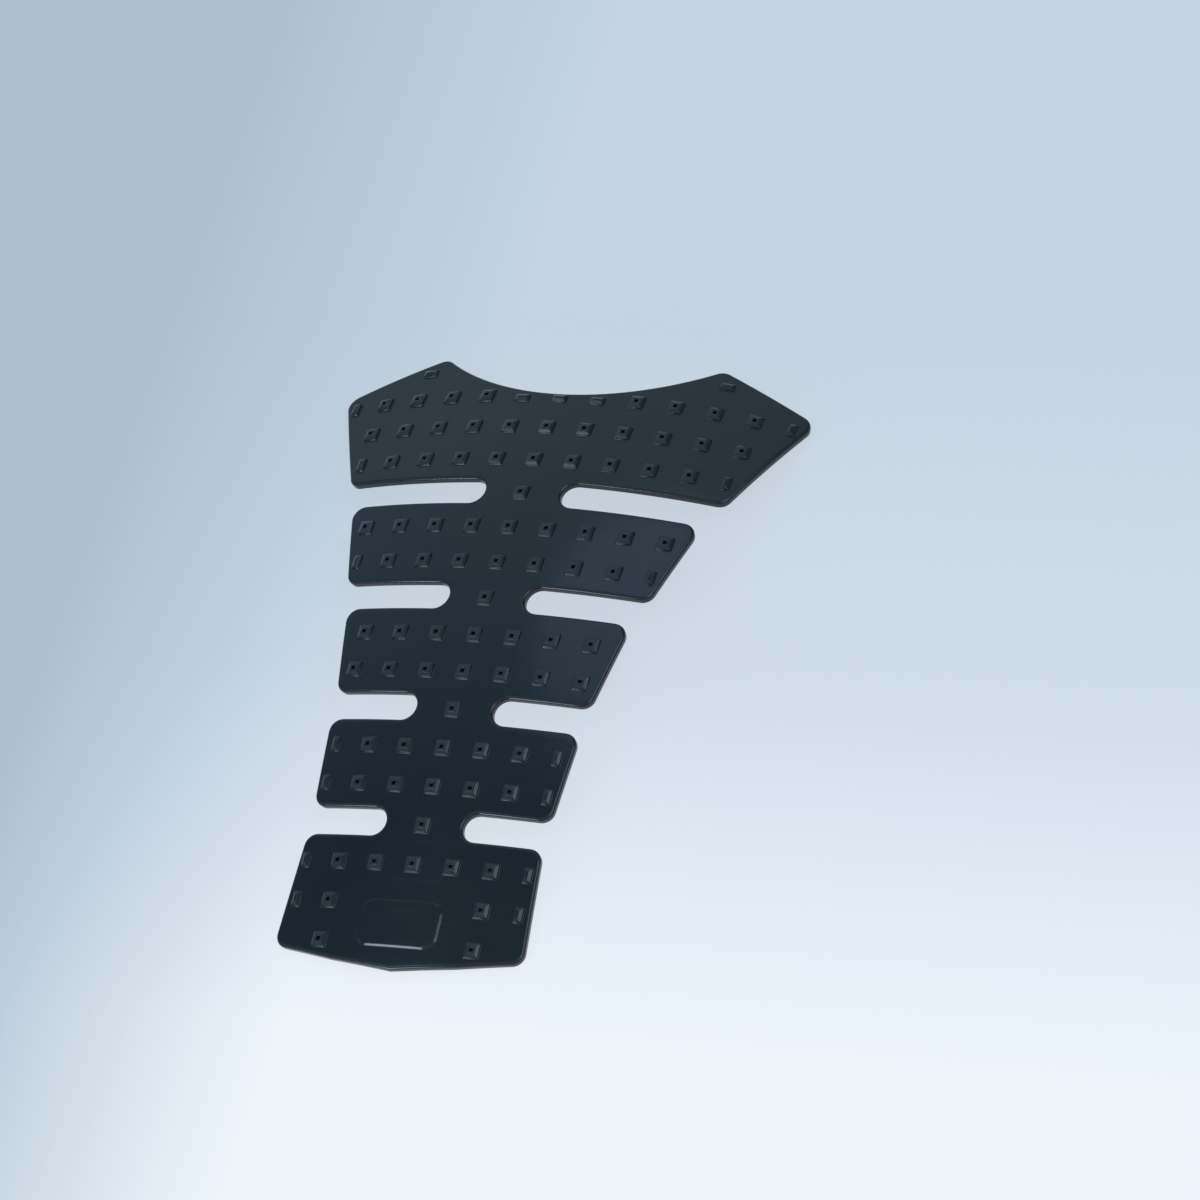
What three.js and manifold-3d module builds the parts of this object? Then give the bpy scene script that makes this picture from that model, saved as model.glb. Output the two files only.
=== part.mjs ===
// A stick-on grip pad for a motorcycle: one moulding of soft gloss plastic with a spine, four
// pairs of notches and rows of square grip studs, curved both ways.
// The pad is drawn flat and then bent. Flat sizes: x runs across the pad, y up its spine.
// Finished part: millimetres, +Z up, +Y towards the horned end, lying on its tips and lower corners.

import * as THREE from 'three';
import { mergeGeometries, mergeVertices } from 'three/addons/utils/BufferGeometryUtils.js';
import Module from 'manifold-3d';

const wasm = await Module();
wasm.setup();

// Stud grid: column 0 is the spine, and rows count down from the horned end.
const pitch = 12.2;
const middleRow = 8;
const lastRow = 16;

// Sheet
const thickness = 2.3;
const rimRound = 0.7;
const cornerRadius = 4;
const hornRadius = 4.2;

// Horned end block: how far its corners and its dip lie from the stud rows and columns beside them.
const hornColumn = 4;
const hornInset = 3.3;
const hornReach = 5.7;
const dipRow = 1;
const dipReach = 1.6;
const sideTipColumn = 6;
const sideTipRow = 1;
const sideTipReach = 5.3;
const sideTipRise = 5.1;
const hornBlockColumn = 5;
const hornBlockReach = 0.6;

// Notches and the neck between them
const notchRows = [4, 7, 10, 13];
const notchHeight = 8.6;
const notchRadius = 4.3;
const notchLift = 0.6;
const neckWidth = 24.8;

// The three ribs between the notches: outermost stud column, and how far each rib's upper and
// lower corners reach beyond that column.
const ribs = [
  { column: 4, upperReach: 8.7, lowerReach: 0.5 },
  { column: 3, upperReach: 9.7, lowerReach: 4.5 },
  { column: 3, upperReach: 3.8, lowerReach: 1.7 },
];

// Plain end block with a shallow pointed lower edge
const endBlockColumn = 3;
const endBlockUpperReach = 1.4;
const endBlockLowerReach = 3.5;
const endCornerReach = 2;
const endTipReach = 7.8;
const endEdgeBow = 0.5;

// Grip studs: a low square plinth with a hipped top and a square pit
const studWidth = 4.7;
const studPlinth = 0.65;
const studRise = 0.45;
const studSlope = 1;
const studRoot = 0.3;
const pitWidth = 1.2;
const pitDepth = 1.3;
const pitCutRoom = 1.2;
const edgeStudWidth = 2.7;

// Plain raised panel on the end block
const panelWidth = 26;
const panelHeight = 14.5;
const panelRadius = 4;
const panelRise = 0.5;
const panelSlope = 0.6;
const panelRow = 15.5;

// Bend: one radius across the pad; along the spine the curve eases from hornBendRadius at the
// horns to straight at the pointed end.
const crossRadius = 252;
const hornBendRadius = 262;

// How finely curves are drawn
const arcSteps = 5;
const dipSteps = 14;
const bendSteps = 48;

// Points closer than this are one point.
const weldGap = 1e-4;

// Full studs of each row, from the first to the last column on each side of the spine
const studRows = [
  [1, 2, 5], [2, 0, 5], [3, 0, 4], [4, 0, 0], [5, 0, 4], [6, 0, 3], [7, 0, 0], [8, 0, 3],
  [9, 0, 3], [10, 0, 0], [11, 0, 2], [12, 0, 2], [13, 0, 0], [14, 0, 2], [15, 2, 2], [16, 2, 2],
];

// Narrow studs, as [row, column]: beside a side edge they keep their inner part, and below an
// upper edge their lower part.
const sideStuds = [[1, 6], [3, 5], [6, 4], [11, 3], [12, 3], [14, 3], [15, 3]];
const upperStuds = [[0, 4], [1, 0], [1, 1]];

const rowY = (row) => (middleRow - row) * pitch;
const columnX = (column) => column * pitch;

// Outline

// Points of the concave edge between the horns, from its lowest point towards the right horn.
function dipPoints(hornX, hornY, dipY) {
  const rise = hornY - dipY;
  const radius = (hornX * hornX + rise * rise) / (2 * rise);
  const sweep = Math.asin(hornX / radius);
  const points = [];
  for (let step = 0; step < dipSteps; step += 1) {
    const angle = (sweep * step) / dipSteps;
    points.push({ x: radius * Math.sin(angle), y: dipY + radius * (1 - Math.cos(angle)) });
  }
  return points;
}

// Corners of the right half, clockwise from the middle of the dip to the pointed end.
function rightCorners() {
  const hornX = columnX(hornColumn) - hornInset;
  const hornY = rowY(0) + hornReach;
  const corners = dipPoints(hornX, hornY, rowY(dipRow) + dipReach);
  corners.push({ x: hornX, y: hornY, radius: hornRadius });
  corners.push({
    x: columnX(sideTipColumn) + sideTipReach, y: rowY(sideTipRow) + sideTipRise, radius: hornRadius,
  });

  const notchEnd = Math.min(notchRadius, notchHeight / 2);
  const lowerEdges = [
    columnX(hornBlockColumn) + hornBlockReach,
    ...ribs.map((rib) => columnX(rib.column) + rib.lowerReach),
  ];
  const upperEdges = [
    ...ribs.map((rib) => columnX(rib.column) + rib.upperReach),
    columnX(endBlockColumn) + endBlockUpperReach,
  ];
  notchRows.forEach((row, index) => {
    const top = rowY(row) + notchLift + notchHeight / 2;
    const bottom = top - notchHeight;
    corners.push({ x: lowerEdges[index], y: top, radius: cornerRadius });
    corners.push({ x: neckWidth / 2, y: top, radius: notchEnd });
    corners.push({ x: neckWidth / 2, y: bottom, radius: notchEnd });
    corners.push({ x: upperEdges[index], y: bottom, radius: cornerRadius });
  });

  const endX = columnX(endBlockColumn) + endBlockLowerReach;
  const endY = rowY(lastRow) - endCornerReach;
  const tipY = rowY(lastRow) - endTipReach;
  corners.push({ x: endX, y: endY, radius: cornerRadius });
  corners.push({ x: endX / 2, y: (endY + tipY) / 2 - endEdgeBow });
  corners.push({ x: 0, y: tipY });
  return corners;
}

// The whole outline: the right half, then its mirror image back to the start.
function outlineCorners() {
  const right = rightCorners();
  const left = right.slice(1, -1).reverse().map((corner) => ({ ...corner, x: -corner.x }));
  return [...right, ...left];
}

// A closed shape through the corners, each with a radius rounded by an arc tangent to its edges.
function roundedShape(corners) {
  const shape = new THREE.Shape();
  corners.forEach((corner, index) => {
    const at = new THREE.Vector2(corner.x, corner.y);
    const previous = corners[(index + corners.length - 1) % corners.length];
    const next = corners[(index + 1) % corners.length];
    const back = new THREE.Vector2(previous.x, previous.y).sub(at).normalize();
    const ahead = new THREE.Vector2(next.x, next.y).sub(at).normalize();
    if (!corner.radius) {
      if (index === 0) shape.moveTo(at.x, at.y);
      else shape.lineTo(at.x, at.y);
      return;
    }
    const halfAngle = Math.acos(back.dot(ahead)) / 2;
    const tangent = corner.radius / Math.tan(halfAngle);
    const start = at.clone().addScaledVector(back, tangent);
    const end = at.clone().addScaledVector(ahead, tangent);
    const middle = back.clone().add(ahead).normalize();
    const centre = at.clone().addScaledVector(middle, corner.radius / Math.sin(halfAngle));
    const clockwise = back.cross(ahead) > 0;
    shape.absarc(
      centre.x, centre.y, corner.radius,
      start.sub(centre).angle(), end.sub(centre).angle(), clockwise,
    );
  });
  return shape;
}

// Solids

function toSolid(geometry) {
  const bare = geometry.index ? geometry.toNonIndexed() : geometry.clone();
  bare.deleteAttribute('normal');
  bare.deleteAttribute('uv');
  const welded = mergeVertices(bare, weldGap);
  return new wasm.Manifold(new wasm.Mesh({
    numProp: 3,
    vertProperties: new Float32Array(welded.attributes.position.array),
    triVerts: new Uint32Array(welded.index.array),
  }));
}

function box(width, depth, height, x, y, lowZ) {
  return new THREE.BoxGeometry(width, depth, height).translate(x, y, lowZ + height / 2);
}

// The sheet: its outline extruded with rounded rims, with the lower rim cut off at the flat back.
function sheet(corners) {
  const blank = new THREE.ExtrudeGeometry(roundedShape(corners), {
    depth: thickness,
    curveSegments: arcSteps,
    bevelThickness: rimRound,
    bevelSize: rimRound,
    bevelOffset: -rimRound,
    bevelSegments: 2,
  }).translate(0, 0, -rimRound);
  blank.computeBoundingBox();
  const size = blank.boundingBox.getSize(new THREE.Vector3());
  const middle = blank.boundingBox.getCenter(new THREE.Vector3());
  const waste = box(size.x + pitch, size.y + pitch, pitch, middle.x, middle.y, -pitch);
  return toSolid(blank).subtract(toSolid(waste));
}

// A raised block with sloping shoulders, rooted in the sheet and standing wall + rise above it.
function raisedBlock(topShape, wall, rise, slope) {
  return new THREE.ExtrudeGeometry(topShape, {
    depth: wall + studRoot,
    curveSegments: arcSteps,
    bevelThickness: rise,
    bevelSize: slope,
    bevelSegments: 1,
  }).translate(0, 0, thickness - studRoot);
}

function rectangleShape(width, height, radius) {
  const x = width / 2;
  const y = height / 2;
  return roundedShape([
    { x: -x, y, radius }, { x, y, radius }, { x, y: -y, radius }, { x: -x, y: -y, radius },
  ]);
}

function squareShape(width, height) {
  const x = width / 2;
  const y = height / 2;
  const corners = [[-x, -y], [x, -y], [x, y], [-x, y]];
  return new THREE.Shape(corners.map(([a, b]) => new THREE.Vector2(a, b)));
}

function stud(width, height, x, y) {
  const top = squareShape(width - 2 * studSlope, height - 2 * studSlope);
  return raisedBlock(top, studPlinth, studRise, studSlope).translate(x, y, 0);
}

// The places of a stud and of its mirror image
function bothSides(column) {
  return column === 0 ? [0] : [-columnX(column), columnX(column)];
}

function fullStudPlaces() {
  const places = [];
  studRows.forEach(([row, first, last]) => {
    for (let column = first; column <= last; column += 1) {
      bothSides(column).forEach((x) => places.push([x, rowY(row)]));
    }
  });
  return places;
}

function edgeStuds() {
  const inward = (studWidth - edgeStudWidth) / 2;
  const solids = [];
  sideStuds.forEach(([row, column]) => bothSides(column).forEach((x) => {
    solids.push(stud(edgeStudWidth, studWidth, x - Math.sign(x) * inward, rowY(row)));
  }));
  upperStuds.forEach(([row, column]) => bothSides(column).forEach((x) => {
    solids.push(stud(studWidth, edgeStudWidth, x, rowY(row) - inward));
  }));
  return solids;
}

function panel() {
  const top = rectangleShape(
    panelWidth - 2 * panelSlope, panelHeight - 2 * panelSlope, panelRadius - panelSlope,
  );
  return raisedBlock(top, 0, panelRise, panelSlope).translate(0, rowY(panelRow), 0);
}

function flatPad(corners) {
  const places = fullStudPlaces();
  const raised = [
    ...places.map(([x, y]) => stud(studWidth, studWidth, x, y)), ...edgeStuds(), panel(),
  ];
  const studTop = thickness + studPlinth + studRise;
  const pits = places.map(([x, y]) => (
    box(pitWidth, pitWidth, pitDepth + pitCutRoom, x, y, studTop - pitDepth)
  ));
  const merged = (parts) => mergeGeometries(
    parts.map((part) => (part.index ? part.toNonIndexed() : part)),
  );
  return sheet(corners).add(toSolid(merged(raised))).subtract(toSolid(merged(pits)));
}

// Bending

// The places halfway between neighbouring studs, across the pad and along it, where the flat
// faces are cut so that they can bend.
function gridLines() {
  const across = [];
  const along = [];
  for (let column = -sideTipColumn; column < sideTipColumn; column += 1) {
    across.push(columnX(column + 0.5));
  }
  for (let row = lastRow; row > 0; row -= 1) {
    along.push(rowY(row - 0.5));
  }
  return [across, along];
}

// Cuts a solid into slices at the given places along a direction.
function slices(solid, direction, places) {
  const parts = [];
  let rest = solid;
  places.forEach((place) => {
    const [beyond, before] = rest.splitByPlane(direction, place);
    parts.push(before);
    rest = beyond;
  });
  return [...parts, rest];
}

// A solid's triangles, each a list of three points
function trianglesOf(solid) {
  const mesh = solid.getMesh();
  const point = (i) => new THREE.Vector3().fromArray(mesh.vertProperties, 3 * i);
  const triangles = [];
  for (let i = 0; i < mesh.triVerts.length; i += 3) {
    triangles.push(Array.from(mesh.triVerts.slice(i, i + 3), point));
  }
  return triangles;
}

// Splits triangles that have another point on an edge, so that neighbours share all their points.
function stitched(triangles, cutKey) {
  const pointsOnCut = new Map();
  triangles.flat().forEach((point) => cutKey(point).forEach((key) => {
    if (!pointsOnCut.has(key)) pointsOnCut.set(key, []);
    pointsOnCut.get(key).push(point);
  }));
  const foot = new THREE.Vector3();
  const pointOnEdge = (a, b) => {
    const shared = cutKey(a).find((key) => cutKey(b).includes(key));
    if (!shared) return undefined;
    const edge = new THREE.Line3(a, b);
    return pointsOnCut.get(shared).find((point) => {
      edge.closestPointToPoint(point, true, foot);
      const distances = [a, b].map((end) => foot.distanceTo(end));
      return foot.distanceTo(point) < weldGap && Math.min(...distances) > weldGap;
    });
  };
  const waiting = [...triangles];
  const done = [];
  while (waiting.length > 0) {
    const corners = waiting.pop();
    const points = corners.map((corner, k) => pointOnEdge(corner, corners[(k + 1) % 3]));
    const k = points.findIndex((point) => point);
    if (k < 0) {
      done.push(corners);
    } else {
      const [a, b, c] = [corners[k], corners[(k + 1) % 3], corners[(k + 2) % 3]];
      waiting.push([a, points[k], c], [points[k], b, c]);
    }
  }
  return done;
}

// The flat pad's skin as triangles that each lie within one cell of the grid: the pad is cut into
// cells, the faces made by the cuts are left out, and the cells are stitched together.
function cellTriangles(solid) {
  const lines = gridLines();
  const cutKey = (point) => lines.flatMap((places, axis) => places
    .filter((place) => Math.abs(point.getComponent(axis) - place) < weldGap)
    .map((place) => `${axis} ${place}`));
  const isCutFace = (triangle) => {
    const [first, second, third] = triangle.map(cutKey);
    return first.some((key) => second.includes(key) && third.includes(key));
  };
  const cells = slices(solid, [1, 0, 0], lines[0])
    .flatMap((strip) => slices(strip, [0, 1, 0], lines[1]));
  const skin = cells.flatMap(trianglesOf).filter((triangle) => !isCutFace(triangle));
  return stitched(skin, cutKey);
}

// The spine's place and slope at the height y of the flat pad, level at the middle row.
function spineAt(y, hornY, tipY) {
  const curvature = (at) => (at - tipY) / (hornY - tipY) / hornBendRadius;
  const step = y / bendSteps;
  let slope = 0;
  let along = 0;
  let up = 0;
  for (let index = 0; index < bendSteps; index += 1) {
    const turn = -curvature(step * (index + 0.5)) * step;
    along += Math.cos(slope + turn / 2) * step;
    up += Math.sin(slope + turn / 2) * step;
    slope += turn;
  }
  return { along, up, slope };
}

function bent([x, y, z], hornY, tipY) {
  const spine = spineAt(y, hornY, tipY);
  const angle = x / crossRadius;
  const height = (crossRadius + z) * Math.cos(angle) - crossRadius;
  return [
    (crossRadius + z) * Math.sin(angle),
    spine.along - height * Math.sin(spine.slope),
    spine.up + height * Math.cos(spine.slope),
  ];
}

// Tips the pad about X until the lowest points of its two ends are level, as it lies on a table.
function layDown(geometry) {
  const position = geometry.attributes.position;
  const lowest = (sign) => {
    let low = null;
    for (let i = 0; i < position.count; i += 1) {
      const point = new THREE.Vector3().fromBufferAttribute(position, i);
      if (point.y * sign > 0 && (!low || point.z < low.z)) low = point;
    }
    return low;
  };
  for (let pass = 0; pass < 6; pass += 1) {
    const upper = lowest(1);
    const lower = lowest(-1);
    geometry.rotateX(-Math.atan2(upper.z - lower.z, upper.y - lower.y));
  }
  geometry.computeBoundingBox();
  const { min, max } = geometry.boundingBox;
  geometry.translate(0, -(min.y + max.y) / 2, -min.z);
}

function padGeometry() {
  const hornY = rowY(0) + hornReach;
  const tipY = rowY(lastRow) - endTipReach;
  const flat = new THREE.BufferGeometry();
  flat.setFromPoints(cellTriangles(flatPad(outlineCorners())).flat());
  const geometry = mergeVertices(flat, weldGap);
  const position = geometry.attributes.position;
  for (let i = 0; i < position.count; i += 1) {
    const place = [position.getX(i), position.getY(i), position.getZ(i)];
    position.setXYZ(i, ...bent(place, hornY, tipY));
  }
  layDown(geometry);
  geometry.computeVertexNormals();
  return geometry;
}

const glossBlack = new THREE.MeshStandardMaterial({
  color: 0x1b2126, roughness: 0.22, metalness: 0, flatShading: true,
});
const tankPad = new THREE.Mesh(padGeometry(), glossBlack);
tankPad.name = 'tank_pad';

const model = new THREE.Group();
model.add(tankPad);

export default model;
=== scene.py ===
# %% [markdown]
# # A stick-on grip pad for a motorcycle
#
# The pad is one moulding of soft gloss black plastic. A narrow spine carries a horned block, three
# ribs and an end block, and rows of small square studs give a rider's jacket something to grip.
# The whole sheet is bent both ways, across the pad and along its spine.
#
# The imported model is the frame. It holds the pad's true size and place, and this script adds the
# looks: a fine mesh with moulded fillets and soft edges, the plastic, a plain studio and a camera.

# %% Load the frame
import math

import bpy
import numpy as np
from mathutils import Matrix, Vector
from mathutils.geometry import delaunay_2d_cdt


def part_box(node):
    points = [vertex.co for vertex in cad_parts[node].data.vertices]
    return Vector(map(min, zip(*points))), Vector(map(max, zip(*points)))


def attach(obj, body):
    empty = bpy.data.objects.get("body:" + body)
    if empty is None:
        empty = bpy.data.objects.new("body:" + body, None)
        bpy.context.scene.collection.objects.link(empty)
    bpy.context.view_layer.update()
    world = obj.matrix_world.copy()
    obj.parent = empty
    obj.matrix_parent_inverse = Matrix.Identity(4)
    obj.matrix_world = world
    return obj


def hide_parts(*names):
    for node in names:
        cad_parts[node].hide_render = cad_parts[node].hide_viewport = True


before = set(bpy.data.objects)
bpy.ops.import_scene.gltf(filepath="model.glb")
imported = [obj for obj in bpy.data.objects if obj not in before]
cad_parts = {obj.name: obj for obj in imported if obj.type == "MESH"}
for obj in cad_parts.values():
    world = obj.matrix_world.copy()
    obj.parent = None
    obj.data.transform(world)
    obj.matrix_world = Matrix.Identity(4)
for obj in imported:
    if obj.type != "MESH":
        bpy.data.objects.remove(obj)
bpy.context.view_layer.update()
pad_low, pad_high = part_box("tank_pad")

# %% [markdown]
# ## The drawing behind the pad
#
# A pad like this is drawn and moulded flat, and takes its bend from what it is stuck to. So the
# flat drawing comes first, in millimetres: x runs across the pad, y up its spine and z out of its
# face. All its corners are measured from one grid, that of the studs. Column 0 lies on the spine,
# and rows count down from the horns.

# %% The stud grid and the sheet
MM = 0.001

PITCH = 12.2
MIDDLE_ROW = 8
LAST_ROW = 16

THICKNESS = 2.3
RIM_ROUND = 0.95
BACK_ROUND = 0.2
CORNER_RADIUS = 4.0


def row_y(row):
    """The height of a stud row on the flat drawing."""
    return (MIDDLE_ROW - row) * PITCH


def column_x(column):
    """The place of a stud column, right of the spine."""
    return column * PITCH


print("stud rows run from", row_y(0), "to", row_y(LAST_ROW), "mm")

# %% The outline's corners
HORN_RADIUS = 4.2
HORN_X = column_x(4) - 3.3
HORN_Y = row_y(0) + 5.7
DIP_Y = row_y(1) + 1.6
DIP_STEPS = 18
SIDE_TIP = (column_x(6) + 5.3, row_y(1) + 5.1)

NOTCH_ROWS = (4, 7, 10, 13)
NOTCH_HEIGHT = 8.6
NOTCH_RADIUS = 4.3
NOTCH_LIFT = 0.6
NECK_WIDTH = 24.8

# Where the block above and the rib below each notch end, as reaches beyond a stud column
LOWER_CORNERS = (column_x(5) + 0.6, column_x(4) + 0.5, column_x(3) + 4.5, column_x(3) + 1.7)
UPPER_CORNERS = (column_x(4) + 8.7, column_x(3) + 9.7, column_x(3) + 3.8, column_x(3) + 1.4)

END_CORNER = (column_x(3) + 3.5, row_y(LAST_ROW) - 2.0)
END_TIP_Y = row_y(LAST_ROW) - 7.8
END_EDGE_BOW = 0.5


def dip_corners():
    """The concave edge between the horns, from its middle towards the right horn."""
    rise = HORN_Y - DIP_Y
    radius = (HORN_X**2 + rise**2) / (2 * rise)
    sweep = math.asin(HORN_X / radius)
    angles = [sweep * step / DIP_STEPS for step in range(DIP_STEPS)]
    return [(radius * math.sin(a), DIP_Y + radius * (1 - math.cos(a)), 0) for a in angles]


def right_corners():
    """Corners (x, y, radius) of the right half, from the middle of the dip to the end tip."""
    corners = dip_corners()
    corners += [(HORN_X, HORN_Y, HORN_RADIUS), (*SIDE_TIP, HORN_RADIUS)]
    for row, lower_x, upper_x in zip(NOTCH_ROWS, LOWER_CORNERS, UPPER_CORNERS):
        top = row_y(row) + NOTCH_LIFT + NOTCH_HEIGHT / 2
        bottom = top - NOTCH_HEIGHT
        corners += [
            (lower_x, top, CORNER_RADIUS),
            (NECK_WIDTH / 2, top, NOTCH_RADIUS),
            (NECK_WIDTH / 2, bottom, NOTCH_RADIUS),
            (upper_x, bottom, CORNER_RADIUS),
        ]
    corners.append((*END_CORNER, CORNER_RADIUS))
    corners.append((END_CORNER[0] / 2, (END_CORNER[1] + END_TIP_Y) / 2 - END_EDGE_BOW, 0))
    corners.append((0, END_TIP_Y, 0))
    return corners


def outline_corners():
    """The whole outline, clockwise: the right half and its mirror image."""
    right = right_corners()
    return right + [(-x, y, radius) for x, y, radius in reversed(right[1:-1])]


print("outline corners:", len(outline_corners()))

# %% [markdown]
# ## Round corners and even spacing
#
# One helper rounds the corners of any path, and it serves twice: for the pad's outline, and for
# the cross-section of a stud. A second helper puts points along the straight stretches. The pad
# gets bent later, and only a path with many points can follow a bend.

# %% Helpers for paths
ARC_STEPS = 8
POINT_SPACING = 2.0
SPACING_SLACK = 1e-6


def rounded_path(corners, closed=True, steps=ARC_STEPS):
    """Points of a path through corners (x, y, radius), with an arc at each that has a radius."""
    points = []
    count = len(corners)
    for index, (x, y, radius) in enumerate(corners):
        at = np.array([x, y], float)
        if not radius or (not closed and index in (0, count - 1)):
            points.append(at)
            continue
        back = np.array(corners[index - 1][:2]) - at
        ahead = np.array(corners[(index + 1) % count][:2]) - at
        back /= np.linalg.norm(back)
        ahead /= np.linalg.norm(ahead)
        half = math.acos(np.clip(back @ ahead, -1, 1)) / 2
        centre = at + (back + ahead) / np.linalg.norm(back + ahead) * radius / math.sin(half)
        start = at + back * radius / math.tan(half) - centre
        end = at + ahead * radius / math.tan(half) - centre
        turn = math.atan2(start[0] * end[1] - start[1] * end[0], start @ end)
        for step in range(steps + 1):
            cos, sin = math.cos(turn * step / steps), math.sin(turn * step / steps)
            turned_x = start[0] * cos - start[1] * sin
            turned_y = start[0] * sin + start[1] * cos
            points.append(centre + [turned_x, turned_y])
    return np.array(points)


def evenly_spaced(points, spacing=POINT_SPACING):
    """The closed path with points added on long stretches, and points that coincide made one."""
    result = []
    for here, there in zip(points, np.roll(points, -1, axis=0)):
        pieces = math.ceil(np.linalg.norm(there - here) / spacing - SPACING_SLACK)
        result += [here + (there - here) * piece / pieces for piece in range(pieces)]
    return np.array(result)


def inset(points, distance):
    """The closed clockwise path moved inwards by a distance."""
    edges = np.roll(points, -1, axis=0) - points
    edges /= np.linalg.norm(edges, axis=1)[:, None]
    inward = np.stack([edges[:, 1], -edges[:, 0]], axis=1)
    bisector = inward + np.roll(inward, 1, axis=0)
    bisector /= (bisector * inward).sum(axis=1)[:, None]
    return points + bisector * distance


outline = evenly_spaced(rounded_path(outline_corners()))
print("outline points:", len(outline))

# %% [markdown]
# ## A mesh made of rings
#
# Moulded plastic has no truly sharp edge, and glossy plastic shows every edge as a line of light.
# So every wall, fillet and soft edge here is a stack of rings with a band of faces between each
# pair. What is left of the face, between the rim and the feet of the studs, is filled with
# triangles. A boolean cut and a bevel modifier could do the same, but they leave ragged faces that
# show in the gloss.
#
# Each point also carries a mark named `grip`, which is 1 on the tops of the studs. The material
# reads it later, because the tops are rougher than the face and get a greyer colour as a painted
# sheen.

# %% The flat mesh
FILL_SPACING = 3.05
FILL_CLEARANCE = 1.1
SAME_PLACE = 1e-5


class FlatMesh:
    """Points and faces of the flat drawing, in millimetres."""

    def __init__(self):
        self.points = []
        self.faces = []
        self.back_faces = []
        self.grip = []

    def add_points(self, path, height, grip=0.0):
        """Adds the points of a path at a height and returns their numbers."""
        first = len(self.points)
        self.points += [(x, y, height) for x, y in path]
        self.grip += [grip] * len(path)
        return list(range(first, len(self.points)))

    def bridge(self, outer, inner):
        """A band of faces between two clockwise rings, facing out of the ring or up."""
        for k, (here, above) in enumerate(zip(outer, inner)):
            self.faces.append((outer[k - 1], inner[k - 1], above, here))

    def fill(self, rings, height, back=False):
        """Triangles between an outer ring and the rings of its holes, with a grid of points."""
        numbers = [number for ring in rings for number in ring]
        borders = []
        for ring in rings:
            first = len(borders)
            borders += [(first + k, first + (k + 1) % len(ring)) for k in range(len(ring))]
        places = np.array([self.points[number][:2] for number in numbers])
        extra = grid_points(places)
        vectors = [Vector(place) for place in np.vstack([places, extra])]
        inside_with_holes = 2
        flat = delaunay_2d_cdt(vectors, borders, [], inside_with_holes, SAME_PLACE)
        number_of = {}
        for k in sorted({k for triangle in flat[2] for k in triangle}):
            source = flat[3][k][0]
            if source < len(numbers):
                number_of[k] = numbers[source]
            else:
                number_of[k] = self.add_points([extra[source - len(numbers)]], height)[0]
        for triangle in flat[2]:
            corners = tuple(number_of[k] for k in triangle)
            if back:
                self.back_faces.append(len(self.faces))
                corners = corners[::-1]
            self.faces.append(corners)


def grid_points(places):
    """Points on a square grid over an area that keep clear of the given places."""
    low, high = places.min(axis=0), places.max(axis=0)
    xs = np.arange(math.floor(low[0] / FILL_SPACING), high[0] / FILL_SPACING) * FILL_SPACING
    ys = np.arange(math.floor(low[1] / FILL_SPACING), high[1] / FILL_SPACING) * FILL_SPACING
    grid = np.array([(x, y) for x in xs for y in ys])
    gaps = np.linalg.norm(grid[:, None, :] - places[None, :, :], axis=2).min(axis=1)
    return grid[gaps > FILL_CLEARANCE]


flat_pad = FlatMesh()

# %% [markdown]
# ## The sheet's side and rims
#
# The side wall stands on a slightly softened back edge and ends in the round upper rim. That rim is
# what draws the thin bright line round the real pad.

# %% Side wall and rims
RIM_STEPS = 6


def edge_rings(mesh, path):
    """The sheet's side from the back ring to the ring where the flat face starts."""
    section = [
        (BACK_ROUND, 0, 0), (0, 0, BACK_ROUND), (0, THICKNESS, RIM_ROUND),
        (2 * RIM_ROUND, THICKNESS, 0),
    ]
    profile = rounded_path(section, closed=False, steps=RIM_STEPS)[1:-1]
    rings = []
    for depth, height in profile:
        rings.append(mesh.add_points(inset(path, depth), height))
    for outer, inner in zip(rings, rings[1:]):
        mesh.bridge(outer, inner)
    return rings[0], rings[-1]


back_ring, face_ring = edge_rings(flat_pad, outline)
print("rim faces:", len(flat_pad.faces))

# %% [markdown]
# ## Grip studs
#
# A stud is a low square block with a hipped top and a square pit in its middle. Its shape is given
# by one cross-section from the foot to the pit's floor. Every corner of that section has its own
# small radius, as in a mould that was cut with a fine tool, and each draws its own line of light.
#
# Beside the outline there is no room for a whole stud. There the real pad has narrow ones without
# a pit, so the same cross-section stops at the ridge.

# %% The stud's cross-section
STUD_WIDTH = 4.7
STUD_CORNER = 0.25
LEAST_CORNER = 0.06
LARGEST_CORNER_SHARE = 0.45
STUD_WALL = 0.55
STUD_RISE = 0.55
STUD_SLOPE = 1.2
FOOT_FILLET = 0.3
WALL_DRAFT = 0.1
SHOULDER_ROUND = 0.2
RIDGE_ROUND = 1.2
PIT_WIDTH = 1.2
PIT_DEPTH = 1.3
PIT_DRAFT = 0.08
PIT_EDGE_ROUND = 0.1
PIT_FLOOR_END = 0.1
RIDGE_END = 0.02
EDGE_STUD_WIDTH = 2.7
SECTION_STEPS = 4
STUD_CORNER_STEPS = 3


def stud_section(half_width, pit):
    """Points (outward, height) of the section from foot to middle, measured from the wall."""
    top = STUD_WALL + STUD_RISE
    section = [
        (2 * FOOT_FILLET, 0, 0), (0, 0, FOOT_FILLET), (-WALL_DRAFT, STUD_WALL, SHOULDER_ROUND),
        (-STUD_SLOPE, top, RIDGE_ROUND),
    ]
    if pit:
        pit_wall = PIT_WIDTH / 2 - half_width
        section += [
            (pit_wall, top, PIT_EDGE_ROUND),
            (pit_wall - PIT_DRAFT, top - PIT_DEPTH, PIT_EDGE_ROUND),
            (PIT_FLOOR_END - half_width, top - PIT_DEPTH, 0),
        ]
    else:
        section.append((RIDGE_END - half_width, top, 0))
    return rounded_path(section, closed=False, steps=SECTION_STEPS)[1:]


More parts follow.
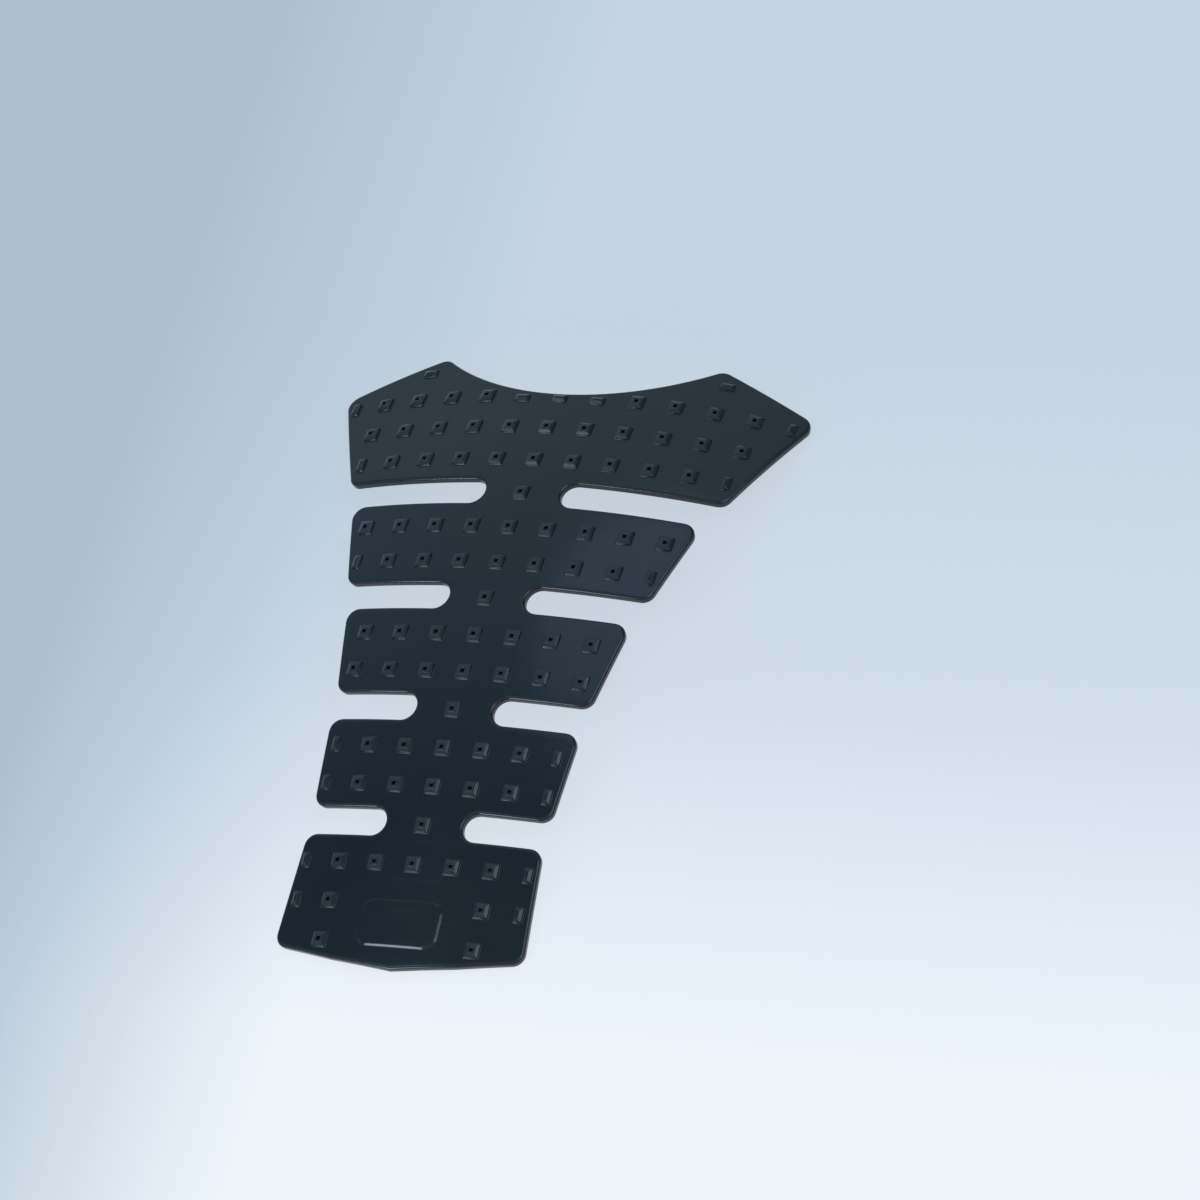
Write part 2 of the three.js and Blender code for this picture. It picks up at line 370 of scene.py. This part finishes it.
def rectangle(width, height, radius, x, y):
    """A clockwise rounded rectangle around a place."""
    corners = [(-1, 1), (1, 1), (1, -1), (-1, -1)]
    path = [(x + a * width / 2, y + b * height / 2, radius) for a, b in corners]
    return rounded_path(path, steps=STUD_CORNER_STEPS)


def add_stud(mesh, width, height, x, y, pit=True):
    """Builds a stud and returns the ring at its foot."""
    rings = []
    for outward, level in stud_section(min(width, height) / 2, pit):
        w, h = width + 2 * outward, height + 2 * outward
        radius = min(max(STUD_CORNER + outward, LEAST_CORNER), LARGEST_CORNER_SHARE * min(w, h))
        grip = 1.0 if level > STUD_WALL + STUD_RISE / 2 else 0.0
        path = rectangle(w, h, radius, x, y)
        rings.append(mesh.add_points(path, THICKNESS + level, grip))
    for outer, inner in zip(rings, rings[1:]):
        mesh.bridge(outer, inner)
    mesh.faces.append(tuple(reversed(rings[-1])))
    return rings[0]


# %% Every stud in its place
# Full studs of each row, as (row, first column, last column) on both sides of the spine
STUD_ROWS = [
    (1, 2, 5), (2, 0, 5), (3, 0, 4), (4, 0, 0), (5, 0, 4), (6, 0, 3), (7, 0, 0), (8, 0, 3),
    (9, 0, 3), (10, 0, 0), (11, 0, 2), (12, 0, 2), (13, 0, 0), (14, 0, 2), (15, 2, 2), (16, 2, 2),
]
# Narrow studs as (row, column): beside a side edge, and below an upper edge
SIDE_STUDS = [(1, 6), (3, 5), (6, 4), (11, 3), (12, 3), (14, 3), (15, 3)]
UPPER_STUDS = [(0, 4), (1, 0), (1, 1)]


def both_sides(column):
    """The place of a column and of its mirror image."""
    return [0.0] if column == 0 else [-column_x(column), column_x(column)]


foot_rings = []
for row, first, last in STUD_ROWS:
    for column in range(first, last + 1):
        for x in both_sides(column):
            foot_rings.append(add_stud(flat_pad, STUD_WIDTH, STUD_WIDTH, x, row_y(row)))
full_studs = len(foot_rings)

inward_shift = (STUD_WIDTH - EDGE_STUD_WIDTH) / 2
for row, column in SIDE_STUDS:
    for x in both_sides(column):
        place = (x - math.copysign(inward_shift, x), row_y(row))
        foot_rings.append(add_stud(flat_pad, EDGE_STUD_WIDTH, STUD_WIDTH, *place, pit=False))
for row, column in UPPER_STUDS:
    for x in both_sides(column):
        place = (x, row_y(row) - inward_shift)
        foot_rings.append(add_stud(flat_pad, STUD_WIDTH, EDGE_STUD_WIDTH, *place, pit=False))
print("full studs:", full_studs, "narrow studs:", len(foot_rings) - full_studs)

# %% [markdown]
# ## The plain panel
#
# The end block has a raised panel with round corners and nothing on it. It is made like a large low
# stud: rings up its sloping shoulder, then a filled top.

# %% Panel
PANEL_WIDTH = 26.0
PANEL_HEIGHT = 14.5
PANEL_RADIUS = 4.0
PANEL_RISE = 0.5
PANEL_SLOPE = 0.6
PANEL_ROUND = 0.25
PANEL_Y = row_y(15.5)

panel_section = rounded_path(
    [
        (2 * PANEL_ROUND, 0, 0), (0, 0, PANEL_ROUND), (-PANEL_SLOPE, PANEL_RISE, PANEL_ROUND),
        (-PANEL_SLOPE - 2 * PANEL_ROUND, PANEL_RISE, 0),
    ],
    closed=False,
    steps=SECTION_STEPS,
)[1:]
panel_outline = evenly_spaced(
    rounded_path(
        [
            (a * PANEL_WIDTH / 2, PANEL_Y + b * PANEL_HEIGHT / 2, PANEL_RADIUS)
            for a, b in [(-1, 1), (1, 1), (1, -1), (-1, -1)]
        ]
    )
)
panel_rings = []
for outward, level in panel_section:
    panel_rings.append(flat_pad.add_points(inset(panel_outline, -outward), THICKNESS + level))
for outer, inner in zip(panel_rings, panel_rings[1:]):
    flat_pad.bridge(outer, inner)
flat_pad.fill([panel_rings[-1]], THICKNESS + PANEL_RISE)

# %% Fill the face and the back
flat_pad.fill([face_ring, *foot_rings, panel_rings[0]], THICKNESS)
flat_pad.fill([back_ring], 0.0, back=True)
print("faces:", len(flat_pad.faces), "points:", len(flat_pad.points))

# %% [markdown]
# ## Bend the sheet
#
# Across the pad the bend is one arc. Along the spine the curve is strongest at the horns and eases
# to straight at the end tip. To place a point, walk along the spine to its height, then follow the
# arc sideways. The bend hardly stretches the stud grid, just as the real sheet isn't stretched.
#
# The bent pad then lies down like the CAD part: tipped until its horn end and its end block touch
# the floor. The frame says where that is, so the two boxes are compared.

# %% Bend and lay down
CROSS_RADIUS = 252.0
HORN_BEND_RADIUS = 262.0
BEND_STEPS = 48
LEVEL_PASSES = 6


def spine_at(y):
    """The spine's place along and up, and its slope, at heights y of the flat drawing."""
    step = y / BEND_STEPS
    slope, along, up = np.zeros_like(y), np.zeros_like(y), np.zeros_like(y)
    for index in range(BEND_STEPS):
        share = (step * (index + 0.5) - END_TIP_Y) / (HORN_Y - END_TIP_Y)
        turn = -share / HORN_BEND_RADIUS * step
        along += np.cos(slope + turn / 2) * step
        up += np.sin(slope + turn / 2) * step
        slope += turn
    return along, up, slope


def bent(points):
    """Flat points moved to where the bend takes them."""
    x, y, z = points.T
    along, up, slope = spine_at(y)
    angle = x / CROSS_RADIUS
    height = (CROSS_RADIUS + z) * np.cos(angle) - CROSS_RADIUS
    across = (CROSS_RADIUS + z) * np.sin(angle)
    return np.stack(
        [across, along - height * np.sin(slope), up + height * np.cos(slope)], axis=1
    )


def laid_down(points):
    """The points turned about X until both ends touch the floor, and centred on it."""
    for _ in range(LEVEL_PASSES):
        ends = [points[points[:, 1] > 0], points[points[:, 1] < 0]]
        upper, lower = [end[end[:, 2].argmin()] for end in ends]
        tip = -math.atan2(upper[2] - lower[2], upper[1] - lower[1])
        cos, sin = math.cos(tip), math.sin(tip)
        points = points @ np.array([[1, 0, 0], [0, cos, -sin], [0, sin, cos]]).T
    low, high = points.min(axis=0), points.max(axis=0)
    return points - [0, (low[1] + high[1]) / 2, low[2]]


pad_points = laid_down(bent(np.array(flat_pad.points))) * MM
low_gap = (pad_points.min(axis=0) - np.array(pad_low)) / MM
high_gap = (pad_points.max(axis=0) - np.array(pad_high)) / MM
print("apart from the CAD box in mm:", low_gap.round(2), high_gap.round(2))

# %% [markdown]
# ## The pad's object
#
# Smooth shading alone would smear light from the walls over the flat face. The Weighted Normal
# modifier lets large faces rule the shading of their corners, so flat stays flat and only the
# narrow bands turn the light. The mark `grip` becomes an attribute of the mesh.

# %% Build the object
pad_mesh = bpy.data.meshes.new("tank_pad_moulding")
pad_mesh.from_pydata(pad_points.tolist(), [], flat_pad.faces)
pad_mesh.validate()
pad_mesh.shade_smooth()
pad_mesh.attributes.new("grip", "FLOAT", "POINT").data.foreach_set("value", flat_pad.grip)

pad = bpy.data.objects.new("tank_pad_moulding", pad_mesh)
bpy.context.scene.collection.objects.link(pad)
pad.modifiers.new("flat faces stay flat", "WEIGHTED_NORMAL").keep_sharp = True

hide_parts("tank_pad")
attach(pad, "root")
print("triangles:", sum(len(polygon.vertices) - 2 for polygon in pad_mesh.polygons))

# %% [markdown]
# ## Shared effects
#
# The face and the back are two finishes of the same plastic. Both have a grain, both have fine rub
# marks, and both collect dust. Each effect is a node group that puts out a height or a mask, and
# each material decides what to do with it.

# %% Helpers for nodes
def new_group(name, inputs, outputs):
    """A node group with float inputs (name, default) and float outputs."""
    group = bpy.data.node_groups.new(name, "ShaderNodeTree")
    for label, default in inputs:
        socket = group.interface.new_socket(label, in_out="INPUT", socket_type="NodeSocketFloat")
        socket.default_value = default
    for label in outputs:
        group.interface.new_socket(label, in_out="OUTPUT", socket_type="NodeSocketFloat")
    return group, group.nodes.new("NodeGroupInput"), group.nodes.new("NodeGroupOutput")


def node(tree, kind, **settings):
    """A shader node of a kind, with its properties set by name."""
    made = tree.nodes.new("ShaderNode" + kind)
    for key, value in settings.items():
        setattr(made, key, value)
    return made


def connect(tree, source, target):
    """Links an output to an input, or sets the input when the source is a plain value."""
    if isinstance(source, bpy.types.NodeSocket):
        tree.links.new(source, target)
    else:
        target.default_value = source


def math_node(tree, operation, *values, clamp=False):
    """A Math node over sockets or numbers, and its output."""
    made = node(tree, "Math", operation=operation, use_clamp=clamp)
    for value, socket in zip(values, made.inputs):
        connect(tree, value, socket)
    return made.outputs[0]


def noise(tree, scale, detail=2.0, roughness=0.5, vector=None):
    """Noise over the object's own coordinates, in cycles per metre."""
    made = node(tree, "TexNoise")
    place = vector or node(tree, "TexCoord").outputs["Object"]
    connect(tree, place, made.inputs["Vector"])
    connect(tree, scale, made.inputs["Scale"])
    connect(tree, detail, made.inputs["Detail"])
    connect(tree, roughness, made.inputs["Roughness"])
    return made.outputs["Fac"]


def mapped(tree, value, low, high, new_low=0.0, new_high=1.0):
    """A value stretched from one range to another and kept inside it."""
    made = node(tree, "MapRange")
    for source, socket in zip((value, low, high, new_low, new_high), made.inputs):
        connect(tree, source, socket)
    return made.outputs[0]


def place_group(tree, group, **values):
    """A group in a material, with its inputs set by name."""
    made = node(tree, "Group", node_tree=group)
    for label, value in values.items():
        connect(tree, value, made.inputs[label])
    return made.outputs


# %% Grain of moulded plastic
# Fine peel as on a gloss moulding, and the slow wave of a soft sheet that isn't quite even
moulded_grain, grain_in, grain_out = new_group(
    "moulded grain", [("Peel", 1.0), ("Wave", 1.0)], ["Height"]
)
PEEL_PER_METRE = 900.0
WAVE_PER_METRE = 55.0

peel = math_node(
    moulded_grain, "MULTIPLY", noise(moulded_grain, PEEL_PER_METRE, 3.0), grain_in.outputs["Peel"]
)
wave = math_node(
    moulded_grain, "MULTIPLY", noise(moulded_grain, WAVE_PER_METRE, 1.0), grain_in.outputs["Wave"]
)
height = math_node(moulded_grain, "ADD", peel, wave)
moulded_grain.links.new(height, grain_out.inputs["Height"])

# %% Rub marks
# Long thin noise in two directions, like the hairlines that cloth leaves on gloss plastic
rub_marks, rub_in, rub_out = new_group("rub marks", [("Amount", 1.0)], ["Mask"])
RUB_DIRECTIONS = (0.35, 1.9)
RUB_STRETCH = (40.0, 1400.0, 40.0)
RUB_LEVELS = (0.62, 0.74)
RUB_PATCHES_PER_METRE = 45.0
RUB_PATCH_LEVELS = (0.45, 0.7)

marks = None
for direction in RUB_DIRECTIONS:
    turned = node(rub_marks, "Mapping")
    connect(rub_marks, node(rub_marks, "TexCoord").outputs["Object"], turned.inputs["Vector"])
    turned.inputs["Rotation"].default_value = (0.0, 0.0, direction)
    turned.inputs["Scale"].default_value = RUB_STRETCH
    lines = mapped(rub_marks, noise(rub_marks, 1.0, vector=turned.outputs[0]), *RUB_LEVELS)
    marks = lines if marks is None else math_node(rub_marks, "MAXIMUM", marks, lines)
patches = mapped(rub_marks, noise(rub_marks, RUB_PATCHES_PER_METRE), *RUB_PATCH_LEVELS)
mask = math_node(rub_marks, "MULTIPLY", marks, patches)
mask = math_node(rub_marks, "MULTIPLY", mask, rub_in.outputs["Amount"], clamp=True)
rub_marks.links.new(mask, rub_out.inputs["Mask"])

# %% Dust
# Fine specks, thick in some places and thin in others
settled_dust, dust_in, dust_out = new_group("settled dust", [("Specks", 1.0)], ["Mask"])
SPECKS_PER_METRE = 1500.0
SPECK_LEVELS = (0.66, 0.78)
DUST_PATCHES_PER_METRE = 35.0
DUST_PATCH_LEVELS = (0.35, 0.65)

specks = mapped(settled_dust, noise(settled_dust, SPECKS_PER_METRE), *SPECK_LEVELS)
thick = mapped(settled_dust, noise(settled_dust, DUST_PATCHES_PER_METRE), *DUST_PATCH_LEVELS)
mask = math_node(settled_dust, "MULTIPLY", specks, thick)
mask = math_node(settled_dust, "MULTIPLY", mask, dust_in.outputs["Specks"], clamp=True)
settled_dust.links.new(mask, dust_out.inputs["Mask"])
print("shared effects:", [group.name for group in (moulded_grain, rub_marks, settled_dust)])

# %% [markdown]
# ## Gloss black plastic
#
# The colour is nearly black, so almost all that the eye gets is reflection: blue grey where the
# face mirrors the sky, and thin bright lines along rims. What makes it look real is small change in
# that reflection. The grain bends it, and rub marks and dust blur it. The tops of the studs are a
# little rougher than the face, and a painted sheen makes their colour greyer.

# %% Materials
GLOSS_COLOUR = (0.0060, 0.0070, 0.0085)
DUST_COLOUR = (0.060, 0.063, 0.066)
GLOSS_ROUGHNESS = 0.15
# Painted sheen: the tops of the studs get a greyer colour than the face, so they look lighter
GRIP_SHEEN_COLOUR = (0.013, 0.016, 0.019)
GRIP_ROUGHER = 0.10
RUB_ROUGHER = 0.25
DUST_ROUGHER = 0.4
UNEVEN_PER_METRE = 30.0
UNEVEN_LEVELS = (0.3, 0.7)
UNEVEN_SHARE = 0.15
PLASTIC_IOR = 1.5
GRAIN_HEIGHT = 0.00002
BACK_COLOUR = (0.012, 0.012, 0.013)
BACK_ROUGHNESS = 0.42


def blended(tree, factor, first, second):
    """A colour between two, each given by a socket or as plain red, green and blue."""
    made = node(tree, "Mix", data_type="RGBA")
    connect(tree, factor, made.inputs[0])
    for colour, socket in ((first, made.inputs[6]), (second, made.inputs[7])):
        is_plain = not isinstance(colour, bpy.types.NodeSocket)
        connect(tree, (*colour, 1.0) if is_plain else colour, socket)
    return made.outputs[2]


def plastic(name, colour, roughness, peel, wave, rubbed, specks):
    """A plastic with the shared effects at the given strengths."""
    material = bpy.data.materials.new(name)
    material.use_nodes = True
    tree = material.node_tree
    shader = tree.nodes["Principled BSDF"]
    shader.inputs["IOR"].default_value = PLASTIC_IOR

    grip = node(tree, "Attribute", attribute_name="grip").outputs["Fac"]
    dust = place_group(tree, settled_dust, Specks=specks)["Mask"]
    rubs = place_group(tree, rub_marks, Amount=rubbed)["Mask"]
    grain = place_group(tree, moulded_grain, Peel=peel, Wave=wave)["Height"]

    # Painted sheen: the stud tops are coloured greyer than the face
    clean = blended(tree, grip, colour, GRIP_SHEEN_COLOUR)
    connect(tree, blended(tree, dust, clean, DUST_COLOUR), shader.inputs["Base Color"])

    slow = noise(tree, UNEVEN_PER_METRE, 3.0)
    smooth, rough = roughness * (1 - UNEVEN_SHARE), roughness * (1 + UNEVEN_SHARE)
    uneven = mapped(tree, slow, *UNEVEN_LEVELS, smooth, rough)
    blurred = math_node(tree, "MULTIPLY_ADD", rubs, RUB_ROUGHER, uneven)
    blurred = math_node(tree, "MULTIPLY_ADD", grip, GRIP_ROUGHER, blurred)
    blurred = math_node(tree, "MULTIPLY_ADD", dust, DUST_ROUGHER, blurred, clamp=True)
    connect(tree, blurred, shader.inputs["Roughness"])

    bump = node(tree, "Bump")
    bump.inputs["Distance"].default_value = GRAIN_HEIGHT
    connect(tree, grain, bump.inputs["Height"])
    connect(tree, bump.outputs["Normal"], shader.inputs["Normal"])
    return material


gloss_black = plastic(
    "gloss black plastic", GLOSS_COLOUR, GLOSS_ROUGHNESS,
    peel=0.6, wave=6.0, rubbed=0.35, specks=0.12,
)
adhesive_black = plastic(
    "adhesive back", BACK_COLOUR, BACK_ROUGHNESS,
    peel=3.0, wave=8.0, rubbed=0.2, specks=0.5,
)
pad_mesh.materials.append(gloss_black)
pad_mesh.materials.append(adhesive_black)
for index in flat_pad.back_faces:
    pad_mesh.polygons[index].material_index = 1
print("materials:", [material.name for material in pad_mesh.materials])

# %% [markdown]
# ## Camera
#
# The camera stands about 2.4 metres off with a long lens, so the pad shows almost no perspective.
# It looks down on the pad from beyond its lower right corner, and it is rolled: the spine leans to
# the right in the picture. Its place was worked out from where the studs sit in the photograph.

# %% Camera
CAMERA_AIM = Vector((34.6, 17.4, 15.0)) * MM
CAMERA_DISTANCE = 2.414
CAMERA_AZIMUTH = math.radians(-46.71)
CAMERA_ELEVATION = math.radians(50.13)
CAMERA_ROLL = math.radians(32.60)
SENSOR = 36.0
LENS = 250.1
FARTHEST_SHOWN = 100.0

camera_data = bpy.data.cameras.new("camera")
camera_data.sensor_width = SENSOR
camera_data.lens = LENS
camera_data.clip_end = FARTHEST_SHOWN
camera = bpy.data.objects.new("camera", camera_data)
bpy.context.scene.collection.objects.link(camera)
bpy.context.scene.camera = camera

camera.matrix_world = (
    Matrix.Translation(CAMERA_AIM)
    @ Matrix.Rotation(CAMERA_AZIMUTH + math.pi / 2, 4, "Z")
    @ Matrix.Rotation(math.pi / 2 - CAMERA_ELEVATION, 4, "X")
    @ Matrix.Rotation(-CAMERA_ROLL, 4, "Z")
    @ Matrix.Translation((0, 0, CAMERA_DISTANCE))
)
print("camera at", [round(value, 3) for value in camera.matrix_world.translation])

# %% [markdown]
# ## Studio
#
# The floor is a plain pale sheet with painted shade: lighter towards the end block and darker on
# the left. Gloss black mirrors whatever is above it, so the room matters more than the lamps. Each
# rib is tilted a little more than the next and mirrors its own band of the sky, so the sky's colour
# changes from band to band. The end block mirrors the darkest one and the horned block a pale blue
# one. The lamps stand where the flat face mostly can't mirror them. They show in rims and in the
# slopes of the studs.

# %% Floor
FLOOR_SIZE = 12.0
FLOOR_ROUGHNESS = 0.9
FLOOR_SPECULAR = 0.1
# How much of the floor's own colour the camera and mirror images see, whatever light falls on it
FLOOR_SHOWN = 0.86
FLOOR_RANGE = (-0.15, 0.15)
# Painted shade: the floor's colour is darker towards the horned end and lighter towards the end
# block
FLOOR_COLOURS = [
    # metres towards the horned end, colour
    (-0.12, (0.91, 0.94, 0.97)),
    (-0.05, (0.77, 0.83, 0.90)),
    (0.0, (0.68, 0.755, 0.83)),
    (0.12, (0.60, 0.68, 0.76)),
]
# Metres across the pad between which painted shade darkens the floor to the left
LEFT_SHADE = (-0.03, -0.15)
LEFT_FLOOR = (0.44, 0.55, 0.64)


def colour_ramp(tree, value, low, high, stops):
    """A colour that changes with a value, through stops (value, colour)."""
    ramp = node(tree, "ValToRGB")
    elements = ramp.color_ramp.elements
    while len(elements) < len(stops):
        elements.new(0.5)
    for element, (place, colour) in zip(elements, stops):
        element.position = (place - low) / (high - low)
        element.color = (*colour, 1.0)
    connect(tree, mapped(tree, value, low, high), ramp.inputs["Fac"])
    return ramp.outputs["Color"]


def coordinate(tree, kind, axis):
    """One coordinate of a kind given by the Texture Coordinate node."""
    split = node(tree, "SeparateXYZ")
    connect(tree, node(tree, "TexCoord").outputs[kind], split.inputs[0])
    return split.outputs[axis]


floor_mesh = bpy.data.meshes.new("floor")
reach = FLOOR_SIZE / 2
floor_mesh.from_pydata(
    [(-reach, -reach, 0), (reach, -reach, 0), (reach, reach, 0), (-reach, reach, 0)],
    [], [(0, 1, 2, 3)],
)
floor = bpy.data.objects.new("floor", floor_mesh)
bpy.context.scene.collection.objects.link(floor)

floor_material = bpy.data.materials.new("pale floor")
floor_material.use_nodes = True
tree = floor_material.node_tree
matte = tree.nodes["Principled BSDF"]
pale = colour_ramp(tree, coordinate(tree, "Object", "Y"), *FLOOR_RANGE, FLOOR_COLOURS)
left_side = mapped(tree, coordinate(tree, "Object", "X"), *LEFT_SHADE)
# Painted shade: the floor's colour darkens to the left
pale = blended(tree, left_side, pale, LEFT_FLOOR)
connect(tree, pale, matte.inputs["Base Color"])
matte.inputs["Roughness"].default_value = FLOOR_ROUGHNESS
matte.inputs["Specular IOR Level"].default_value = FLOOR_SPECULAR
glow = node(tree, "Emission")
connect(tree, pale, glow.inputs["Color"])
path = node(tree, "LightPath")
seen = math_node(
    tree, "MAXIMUM", path.outputs["Is Camera Ray"], path.outputs["Is Glossy Ray"]
)
seen = math_node(tree, "MAXIMUM", seen, path.outputs["Is Transmission Ray"])
share = math_node(tree, "MULTIPLY", seen, FLOOR_SHOWN)
blend = node(tree, "MixShader")
connect(tree, share, blend.inputs["Fac"])
tree.links.new(matte.outputs[0], blend.inputs[1])
tree.links.new(glow.outputs[0], blend.inputs[2])
tree.links.new(blend.outputs[0], tree.nodes["Material Output"].inputs["Surface"])
floor_mesh.materials.append(floor_material)

# %% Room light
SKY_COLOURS = [
    # share of the direction that points towards the horned end, colour
    (-1.0, (0.42, 0.56, 0.66)),
    (-0.30, (0.50, 0.67, 0.80)),
    (-0.08, (0.44, 0.60, 0.73)),
    (0.10, (0.20, 0.36, 0.48)),
    (0.20, (0.13, 0.27, 0.375)),
    (0.28, (0.24, 0.45, 0.59)),
    (0.39, (0.335, 0.54, 0.69)),
    (0.50, (0.38, 0.585, 0.74)),
    (0.65, (0.47, 0.67, 0.80)),
    (1.0, (0.40, 0.58, 0.70)),
]
# The room is darker low down, except on the right. It is also darker beyond the horned end on the
# right, which keeps the studs' right slopes dark there. Each pair gives the shares of the direction
# along an axis at which that starts and at which it is full.
HORIZON = (0.26, 0.37, 0.47)
HORIZON_Z = (0.5, 0.1)
HORIZON_X = (0.6, 0.2)
DARK_SIDE = (0.18, 0.29, 0.40)
DARK_SIDE_X = (0.0, 0.25)
DARK_SIDE_Y = (0.38, 0.50)

world = bpy.data.worlds.new("room")
bpy.context.scene.world = world
world.use_nodes = True
tree = world.node_tree
sky = colour_ramp(tree, coordinate(tree, "Generated", "Y"), -1.0, 1.0, SKY_COLOURS)
low_down = mapped(tree, coordinate(tree, "Generated", "Z"), *HORIZON_Z)
left_side = mapped(tree, coordinate(tree, "Generated", "X"), *HORIZON_X)
sky = blended(tree, math_node(tree, "MULTIPLY", low_down, left_side), sky, HORIZON)
right_side = mapped(tree, coordinate(tree, "Generated", "X"), *DARK_SIDE_X)
far_side = mapped(tree, coordinate(tree, "Generated", "Y"), *DARK_SIDE_Y)
sky = blended(tree, math_node(tree, "MULTIPLY", right_side, far_side), sky, DARK_SIDE)
connect(tree, sky, tree.nodes["Background"].inputs["Color"])

# %% Lamps
LAMPS = [
    # name, direction towards the lamp, width in metres, brightness of its disk, colour
    ("high lamp", Vector((-0.41, -0.10, 0.90)), 0.50, 2.8, (0.66, 0.84, 1.0)),
    ("right lamp", Vector((0.62, 0.02, 0.78)), 1.40, 2.2, (0.66, 0.84, 1.0)),
    ("front lamp", Vector((-0.42, -0.89, 0.16)), 0.80, 9.5, (0.66, 0.84, 1.0)),
    ("blue lamp", Vector((-0.12, 0.42, 0.90)), 0.80, 0.6, (0.45, 0.68, 1.0)),
]
LAMP_DISTANCE = 2.0
for name, towards, width, brightness, colour in LAMPS:
    lamp_data = bpy.data.lights.new(name, "AREA")
    lamp_data.shape = "DISK"
    lamp_data.size = width
    lamp_data.color = colour
    lamp_data.energy = brightness * math.pi * math.pi * (width / 2) ** 2
    lamp = bpy.data.objects.new(name, lamp_data)
    bpy.context.scene.collection.objects.link(lamp)
    towards = towards.normalized()
    lamp.matrix_world = (
        Matrix.Translation(towards * LAMP_DISTANCE)
        @ towards.to_track_quat("Z", "Y").to_matrix().to_4x4()
    )
print("lamps:", len(LAMPS))

bpy.context.scene.view_settings.view_transform = "Standard"
